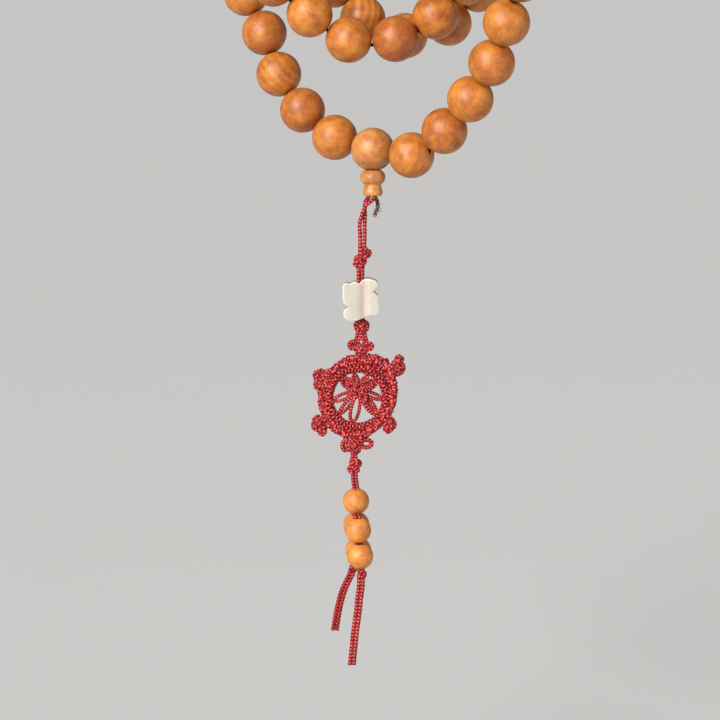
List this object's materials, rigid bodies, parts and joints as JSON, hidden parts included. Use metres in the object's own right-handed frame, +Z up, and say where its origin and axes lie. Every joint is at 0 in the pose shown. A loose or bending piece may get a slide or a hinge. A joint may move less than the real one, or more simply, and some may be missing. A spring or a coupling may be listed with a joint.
{
  "type": "mala prayer beads",
  "caption": "Prayer beads of round polished wood wrapped in loops over a support, with a guru bead, a frosted pinwheel stone bead, a knotted cord wheel and small beads on tails",
  "frame": {"origin": "Crest of the rounded support that the beads hang over, midway between its ends: the point of its surface under the middle pass of beads", "axes": "+Z up, against the hang; +X to the right as the pendant is seen from the front; +Y along the support, away from the front; -Y is the front"},
  "size_m": [0.1119, 0.0785, 0.3322],
  "materials": {
    "bead_wood": "polished sandalwood, satin",
    "guru_wood": "paler turned wood, satin",
    "small_bead_wood": "polished golden wood, satin",
    "red_cord": "braided crimson cord",
    "bead_string": "dark spun string",
    "frosted_stone": "frosted translucent ivory stone"
  },
  "bodies": {
    "draped_strands": {"draped_string": "bead_string", "front_pass_beads": "bead_wood", "middle_pass_beads": "bead_wood", "rear_pass_beads": "bead_wood", "front_loop_leg_beads": "bead_wood", "back_loop_leg_beads": "bead_wood"},
    "guru_loop": {"guru_bead": "guru_wood", "guru_tower": "guru_wood", "guru_loop_string": "bead_string", "string_end": "bead_string", "cord_loop": "red_cord", "right_leg_beads": "bead_wood", "left_leg_beads": "bead_wood"},
    "right_bead_1": {"right_bead_1": "bead_wood"},
    "right_bead_2": {"right_bead_2": "bead_wood"},
    "right_bead_3": {"right_bead_3": "bead_wood"},
    "right_bead_4": {"right_bead_4": "bead_wood"},
    "right_bead_5": {"right_bead_5": "bead_wood"},
    "left_bead_1": {"left_bead_1": "bead_wood"},
    "left_bead_2": {"left_bead_2": "bead_wood"},
    "left_bead_3": {"left_bead_3": "bead_wood"},
    "left_bead_4": {"left_bead_4": "bead_wood"},
    "left_bead_5": {"left_bead_5": "bead_wood"},
    "front_bead_1": {"front_bead_1": "bead_wood"},
    "front_bead_2": {"front_bead_2": "bead_wood"},
    "front_bead_3": {"front_bead_3": "bead_wood"},
    "front_bead_4": {"front_bead_4": "bead_wood"},
    "front_bead_5": {"front_bead_5": "bead_wood"},
    "back_bead_1": {"back_bead_1": "bead_wood"},
    "back_bead_2": {"back_bead_2": "bead_wood"},
    "back_bead_3": {"back_bead_3": "bead_wood"},
    "back_bead_4": {"back_bead_4": "bead_wood"},
    "back_bead_5": {"back_bead_5": "bead_wood"},
    "pendant": {"behind_cord": "red_cord", "crossing_cord": "red_cord", "knot_1": "red_cord", "knot_2": "red_cord"},
    "stone_bead": {"stone_bead": "frosted_stone"},
    "wheel": {"upper_ear_knot": "red_cord", "wheel_rim": "red_cord", "wheel_lace": "red_cord", "wheel_flower": "red_cord", "wheel_side_knots": "red_cord", "lower_ear_knot": "red_cord"},
    "lower_cord": {"lower_cords": "red_cord", "knot_3": "red_cord"},
    "small_bead_top": {"small_bead_top": "small_bead_wood"},
    "front_strand": {"front_strand_cords": "red_cord", "front_knot": "red_cord"},
    "back_strand": {"back_strand_cords": "red_cord", "back_knot": "red_cord"},
    "small_bead_front_upper": {"small_bead_front_upper": "small_bead_wood"},
    "small_bead_front_lower": {"small_bead_front_lower": "small_bead_wood"},
    "small_bead_back_upper": {"small_bead_back_upper": "small_bead_wood"},
    "small_bead_back_lower": {"small_bead_back_lower": "small_bead_wood"},
    "front_tail": {"front_tail_left_cord": "red_cord", "front_tail_right_cord": "red_cord"},
    "back_tail": {"back_tail_left_cord": "red_cord", "back_tail_right_cord": "red_cord"}
  },
  "joints": [
    {"name": "guru_loop_swing", "type": "hinge", "parent": "draped_strands", "child": "guru_loop", "pos_m": [0.0001, -0.00009, -0.04582], "axis": [0.8539, -0.5164, -0.0654], "range_deg": [-5, 5]},
    {"name": "pendant_swing", "type": "hinge", "parent": "guru_loop", "child": "pendant", "pos_m": [-0.0051, 0, -0.1992], "axis": [0, 1, 0], "range_deg": [-25, 25]},
    {"name": "wheel_twist", "type": "hinge", "parent": "pendant", "child": "wheel", "pos_m": [-0.006, 0, -0.2324], "axis": [0, 0, 1], "range_deg": [-40, 40]},
    {"name": "lower_cord_swing", "type": "hinge", "parent": "wheel", "child": "lower_cord", "pos_m": [-0.0079, 0, -0.2648], "axis": [0, 1, 0], "range_deg": [-25, 25]},
    {"name": "small_bead_top_slide", "type": "slide", "parent": "lower_cord", "child": "small_bead_top", "axis": [0, 0, 1], "range_m": [0, 0.0035]},
    {"name": "front_strand_swing", "type": "hinge", "parent": "lower_cord", "child": "front_strand", "pos_m": [-0.0074, -0.0008, -0.2804], "axis": [0, 1, 0], "range_deg": [-10, 10]},
    {"name": "back_strand_swing", "type": "hinge", "parent": "lower_cord", "child": "back_strand", "pos_m": [-0.0074, 0.0008, -0.2804], "axis": [0, 1, 0], "range_deg": [-10, 10]},
    {"name": "front_tail_swing", "type": "hinge", "parent": "front_strand", "child": "front_tail", "pos_m": [-0.0061, -0.0038, -0.29755], "axis": [0, 1, 0], "range_deg": [-15, 15]},
    {"name": "back_tail_swing", "type": "hinge", "parent": "back_strand", "child": "back_tail", "pos_m": [-0.0085, 0.0036, -0.29695], "axis": [0, 1, 0], "range_deg": [-15, 15]},
    {"name": "stone_bead_turn", "type": "hinge", "parent": "pendant", "child": "stone_bead", "pos_m": [-0.0062, 0, -0.2232], "axis": [0, 0, 1], "continuous": true},
    {"name": "small_bead_front_upper_spin", "type": "hinge", "parent": "front_strand", "child": "small_bead_front_upper", "pos_m": [-0.0069, -0.0036, -0.2844], "axis": [0, 0, 1], "continuous": true},
    {"name": "small_bead_front_lower_spin", "type": "hinge", "parent": "front_strand", "child": "small_bead_front_lower", "pos_m": [-0.0063, -0.0038, -0.2913], "axis": [0, 0, 1], "continuous": true},
    {"name": "small_bead_back_upper_spin", "type": "hinge", "parent": "back_strand", "child": "small_bead_back_upper", "pos_m": [-0.0073, 0.0036, -0.2839], "axis": [0, 0, 1], "continuous": true},
    {"name": "small_bead_back_lower_spin", "type": "hinge", "parent": "back_strand", "child": "small_bead_back_lower", "pos_m": [-0.0068, 0.0038, -0.2908], "axis": [0, 0, 1], "continuous": true},
    {"name": "right_bead_1_spin", "type": "hinge", "parent": "guru_loop", "child": "right_bead_1", "pos_m": [0.00711, -0.00656, -0.18527], "axis": [0.8085, -0.5437, 0.225], "continuous": true},
    {"name": "right_bead_2_spin", "type": "hinge", "parent": "guru_loop", "child": "right_bead_2", "pos_m": [0.01553, -0.01246, -0.17884], "axis": [0.6186, -0.4956, 0.6097], "continuous": true},
    {"name": "right_bead_3_spin", "type": "hinge", "parent": "guru_loop", "child": "right_bead_3", "pos_m": [0.02201, -0.01851, -0.17058], "axis": [0.4836, -0.4894, 0.7257], "continuous": true},
    {"name": "right_bead_4_spin", "type": "hinge", "parent": "guru_loop", "child": "right_bead_4", "pos_m": [0.02722, -0.0243, -0.16129], "axis": [0.3605, -0.4713, 0.8049], "continuous": true},
    {"name": "right_bead_5_spin", "type": "hinge", "parent": "guru_loop", "child": "right_bead_5", "pos_m": [0.03072, -0.02989, -0.15113], "axis": [0.2924, -0.4104, 0.8638], "continuous": true},
    {"name": "left_bead_1_spin", "type": "hinge", "parent": "guru_loop", "child": "left_bead_1", "pos_m": [-0.01303, 0.00603, -0.18086], "axis": [0.7809, -0.4525, -0.4306], "continuous": true},
    {"name": "left_bead_2_spin", "type": "hinge", "parent": "guru_loop", "child": "left_bead_2", "pos_m": [-0.02161, 0.01078, -0.17374], "axis": [0.6238, -0.3582, -0.6947], "continuous": true},
    {"name": "left_bead_3_spin", "type": "hinge", "parent": "guru_loop", "child": "left_bead_3", "pos_m": [-0.02801, 0.01463, -0.16419], "axis": [0.4288, -0.2965, -0.8533], "continuous": true},
    {"name": "left_bead_4_spin", "type": "hinge", "parent": "guru_loop", "child": "left_bead_4", "pos_m": [-0.03193, 0.01792, -0.1532], "axis": [0.3696, -0.276, -0.8873], "continuous": true},
    {"name": "left_bead_5_spin", "type": "hinge", "parent": "guru_loop", "child": "left_bead_5", "pos_m": [-0.03696, 0.02131, -0.14271], "axis": [0.39, -0.2629, -0.8825], "continuous": true},
    {"name": "front_bead_1_spin", "type": "hinge", "parent": "draped_strands", "child": "front_bead_1", "pos_m": [-0.01943, -0.00939, -0.1487], "axis": [0.799, 0.1018, -0.5926], "continuous": true},
    {"name": "front_bead_2_spin", "type": "hinge", "parent": "draped_strands", "child": "front_bead_2", "pos_m": [-0.0093, -0.0085, -0.1553], "axis": [0.9609, 0.02, -0.2761], "continuous": true},
    {"name": "front_bead_3_spin", "type": "hinge", "parent": "draped_strands", "child": "front_bead_3", "pos_m": [0.00281, -0.00892, -0.15509], "axis": [0.9637, 0.0606, 0.2601], "continuous": true},
    {"name": "front_bead_4_spin", "type": "hinge", "parent": "draped_strands", "child": "front_bead_4", "pos_m": [0.01325, -0.00708, -0.14921], "axis": [0.7655, 0.1838, 0.6166], "continuous": true},
    {"name": "front_bead_5_spin", "type": "hinge", "parent": "draped_strands", "child": "front_bead_5", "pos_m": [0.02111, -0.00453, -0.14035], "axis": [0.6261, 0.1933, 0.7555], "continuous": true},
    {"name": "back_bead_1_spin", "type": "hinge", "parent": "draped_strands", "child": "back_bead_1", "pos_m": [-0.01312, 0.01006, -0.1407], "axis": [0.6163, -0.2336, -0.7521], "continuous": true},
    {"name": "back_bead_2_spin", "type": "hinge", "parent": "draped_strands", "child": "back_bead_2", "pos_m": [-0.00563, 0.00656, -0.14956], "axis": [0.7925, -0.2153, -0.5706], "continuous": true},
    {"name": "back_bead_3_spin", "type": "hinge", "parent": "draped_strands", "child": "back_bead_3", "pos_m": [0.0055, 0.005, -0.1541], "axis": [0.9981, -0.033, -0.0526], "continuous": true},
    {"name": "back_bead_4_spin", "type": "hinge", "parent": "draped_strands", "child": "back_bead_4", "pos_m": [0.01712, 0.00581, -0.15076], "axis": [0.8385, 0.1449, 0.5253], "continuous": true},
    {"name": "back_bead_5_spin", "type": "hinge", "parent": "draped_strands", "child": "back_bead_5", "pos_m": [0.02498, 0.00837, -0.14189], "axis": [0.6181, 0.2272, 0.7526], "continuous": true}
  ]
}
